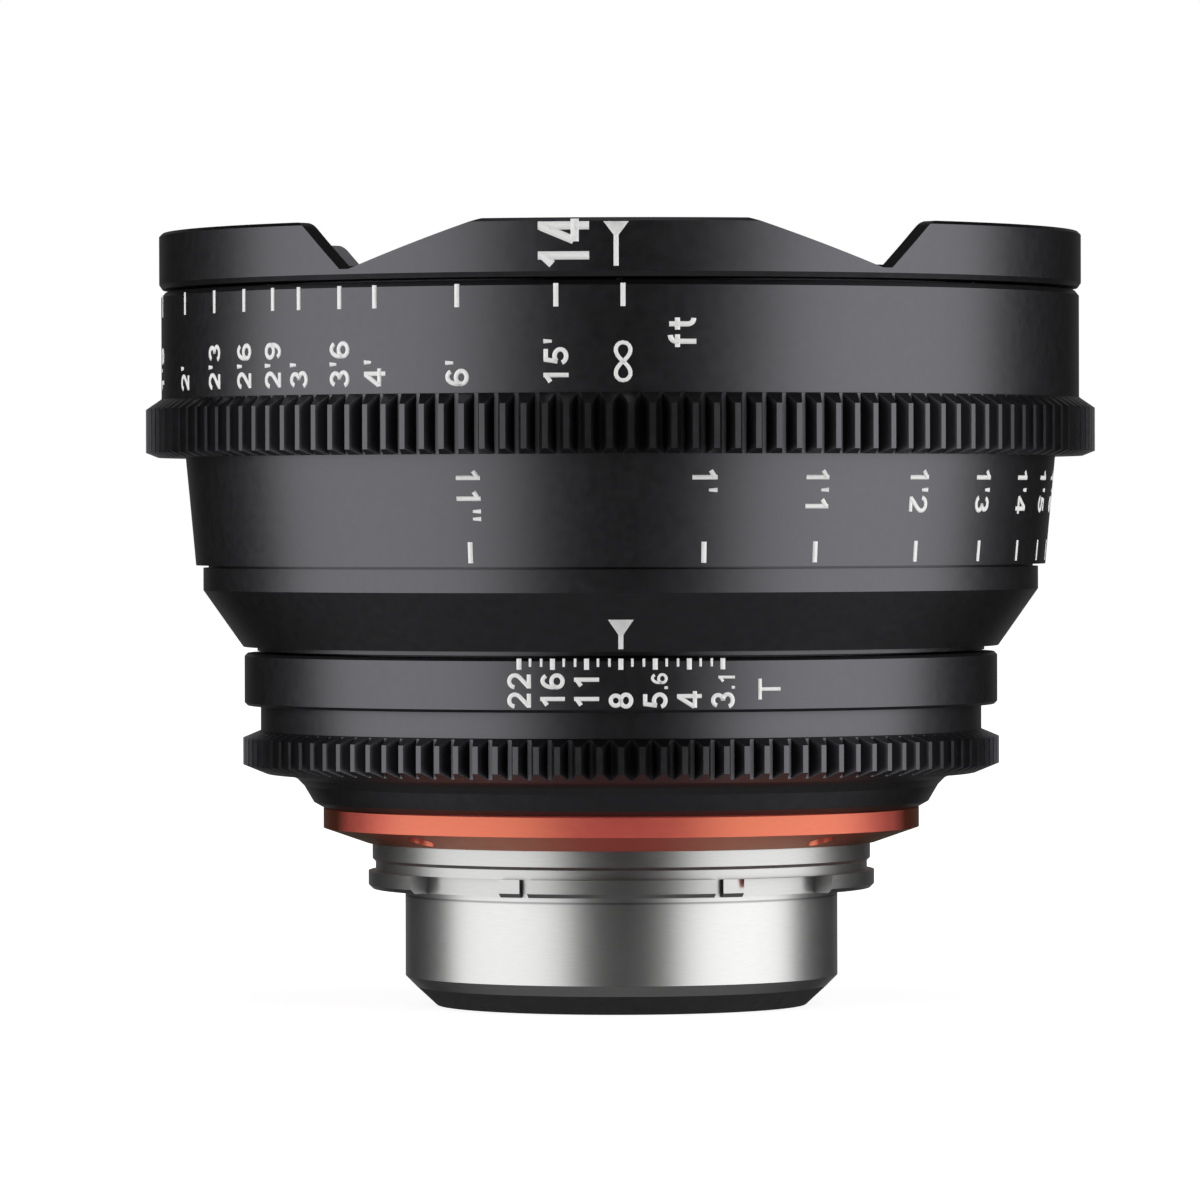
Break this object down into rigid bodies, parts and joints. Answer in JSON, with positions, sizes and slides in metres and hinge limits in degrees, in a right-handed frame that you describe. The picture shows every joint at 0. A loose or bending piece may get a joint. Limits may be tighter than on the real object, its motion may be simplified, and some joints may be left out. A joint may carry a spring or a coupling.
{
  "type": "cinema prime lens",
  "caption": "Ultra-wide cinema prime lens with geared focus and iris rings, a petal hood, a working blade iris and a steel bayonet mount.",
  "frame": {"origin": "on the optical axis in the plane of the mount's flange seat", "axes": "+Z along the optical axis towards the front element; -Y is the side that carries the index marks; +X is to the right of a reader of those marks"},
  "size_m": [0.1184, 0.1184, 0.0962],
  "materials": {
    "black_anodised": "black anodised, satin",
    "matt_black": "black anodised, matt",
    "red_anodised": "red anodised, satin",
    "mount_steel": "fine turned, satin",
    "screw_steel": "bright",
    "brass": "turned",
    "coated_glass": "polished, anti-reflection coated",
    "mark_paint": "engraved and filled, matt"
  },
  "bodies": {
    "barrel": {"front_hood": "black_anodised", "hood_screws": "screw_steel", "front_trim_ring": "matt_black", "front_retaining_ring": "matt_black", "front_element": "coated_glass", "front_spacer": "matt_black", "second_element": "coated_glass", "third_element": "coated_glass", "front_group_ring": "matt_black", "front_cell": "black_anodised", "guide_pins": "screw_steel", "main_barrel": "black_anodised", "index_ring": "black_anodised", "helicoid_stop_ring": "matt_black", "rear_housing": "black_anodised", "housing_screws": "screw_steel", "red_trim_ring": "red_anodised", "red_ring_screws": "matt_black", "mount_shim": "brass", "mount_flange": "mount_steel", "mount_screws": "screw_steel", "rear_baffle": "matt_black"},
    "focus_ring": {"focus_ring": "black_anodised", "focus_key": "screw_steel", "helicoid_ring": "brass"},
    "focus_group": {"focus_carrier": "black_anodised", "fourth_element": "coated_glass", "carrier_ring": "matt_black", "fifth_element": "coated_glass", "sixth_element": "coated_glass", "carrier_spacer": "matt_black", "seventh_element": "coated_glass", "iris_base": "matt_black", "rear_cell": "black_anodised", "rear_cell_screws": "screw_steel", "eighth_element": "coated_glass", "ninth_element": "coated_glass", "inner_spacer": "matt_black", "tenth_element": "coated_glass", "eleventh_element": "coated_glass", "twelfth_element": "coated_glass", "outer_spacer": "matt_black", "thirteenth_element": "coated_glass", "rear_element": "coated_glass", "rear_retaining_ring": "matt_black"},
    "iris_ring": {"iris_ring": "black_anodised", "iris_drive_arm": "screw_steel"},
    "iris_cam": {"iris_cam": "brass"},
    "iris_blade_1": {"iris_blade_1": "matt_black"},
    "iris_blade_2": {"iris_blade_2": "matt_black"},
    "iris_blade_3": {"iris_blade_3": "matt_black"},
    "iris_blade_4": {"iris_blade_4": "matt_black"},
    "iris_blade_5": {"iris_blade_5": "matt_black"},
    "iris_blade_6": {"iris_blade_6": "matt_black"},
    "iris_blade_7": {"iris_blade_7": "matt_black"},
    "iris_blade_8": {"iris_blade_8": "matt_black"},
    "iris_blade_9": {"iris_blade_9": "matt_black"},
    "iris_blade_10": {"iris_blade_10": "matt_black"},
    "iris_blade_11": {"iris_blade_11": "matt_black"}
  },
  "joints": [
    {"name": "focus_turn", "type": "hinge", "parent": "barrel", "child": "focus_ring", "pos_m": [0, 0, 0], "axis": [0, 0, 1], "range_deg": [0, 200]},
    {"name": "focus_slide", "type": "slide", "parent": "barrel", "child": "focus_group", "axis": [0, 0, 1], "range_m": [0, 0.002]},
    {"name": "iris_turn", "type": "hinge", "parent": "barrel", "child": "iris_ring", "pos_m": [0, 0, 0], "axis": [0, 0, 1], "range_deg": [-15, 15]},
    {"name": "cam_turn", "type": "hinge", "parent": "focus_group", "child": "iris_cam", "pos_m": [0, 0, 0.025], "axis": [0, 0, 1], "range_deg": [-15, 15]},
    {"name": "blade_1_swing", "type": "hinge", "parent": "focus_group", "child": "iris_blade_1", "pos_m": [0, -0.0135, 0.0225], "axis": [0, 0, 1], "range_deg": [-15, 15]},
    {"name": "blade_2_swing", "type": "hinge", "parent": "focus_group", "child": "iris_blade_2", "pos_m": [0.0073, -0.01136, 0.0225], "axis": [0, 0, 1], "range_deg": [-15, 15]},
    {"name": "blade_3_swing", "type": "hinge", "parent": "focus_group", "child": "iris_blade_3", "pos_m": [0.01228, -0.00561, 0.0225], "axis": [0, 0, 1], "range_deg": [-15, 15]},
    {"name": "blade_4_swing", "type": "hinge", "parent": "focus_group", "child": "iris_blade_4", "pos_m": [0.01336, 0.00192, 0.0225], "axis": [0, 0, 1], "range_deg": [-15, 15]},
    {"name": "blade_5_swing", "type": "hinge", "parent": "focus_group", "child": "iris_blade_5", "pos_m": [0.0102, 0.00884, 0.0225], "axis": [0, 0, 1], "range_deg": [-15, 15]},
    {"name": "blade_6_swing", "type": "hinge", "parent": "focus_group", "child": "iris_blade_6", "pos_m": [0.0038, 0.01295, 0.0225], "axis": [0, 0, 1], "range_deg": [-15, 15]},
    {"name": "blade_7_swing", "type": "hinge", "parent": "focus_group", "child": "iris_blade_7", "pos_m": [-0.0038, 0.01295, 0.0225], "axis": [0, 0, 1], "range_deg": [-15, 15]},
    {"name": "blade_8_swing", "type": "hinge", "parent": "focus_group", "child": "iris_blade_8", "pos_m": [-0.0102, 0.00884, 0.0225], "axis": [0, 0, 1], "range_deg": [-15, 15]},
    {"name": "blade_9_swing", "type": "hinge", "parent": "focus_group", "child": "iris_blade_9", "pos_m": [-0.01336, 0.00192, 0.0225], "axis": [0, 0, 1], "range_deg": [-15, 15]},
    {"name": "blade_10_swing", "type": "hinge", "parent": "focus_group", "child": "iris_blade_10", "pos_m": [-0.01228, -0.00561, 0.0225], "axis": [0, 0, 1], "range_deg": [-15, 15]},
    {"name": "blade_11_swing", "type": "hinge", "parent": "focus_group", "child": "iris_blade_11", "pos_m": [-0.0073, -0.01136, 0.0225], "axis": [0, 0, 1], "range_deg": [-15, 15]}
  ],
  "couplings": [
    {"joint": "focus_slide", "follows": "focus_turn", "m_per_rad": 0.00057296},
    {"joint": "cam_turn", "follows": "iris_turn", "ratio": 1},
    {"joint": "blade_1_swing", "follows": "iris_turn", "ratio": 1},
    {"joint": "blade_2_swing", "follows": "iris_turn", "ratio": 1},
    {"joint": "blade_3_swing", "follows": "iris_turn", "ratio": 1},
    {"joint": "blade_4_swing", "follows": "iris_turn", "ratio": 1},
    {"joint": "blade_5_swing", "follows": "iris_turn", "ratio": 1},
    {"joint": "blade_6_swing", "follows": "iris_turn", "ratio": 1},
    {"joint": "blade_7_swing", "follows": "iris_turn", "ratio": 1},
    {"joint": "blade_8_swing", "follows": "iris_turn", "ratio": 1},
    {"joint": "blade_9_swing", "follows": "iris_turn", "ratio": 1},
    {"joint": "blade_10_swing", "follows": "iris_turn", "ratio": 1},
    {"joint": "blade_11_swing", "follows": "iris_turn", "ratio": 1}
  ]
}
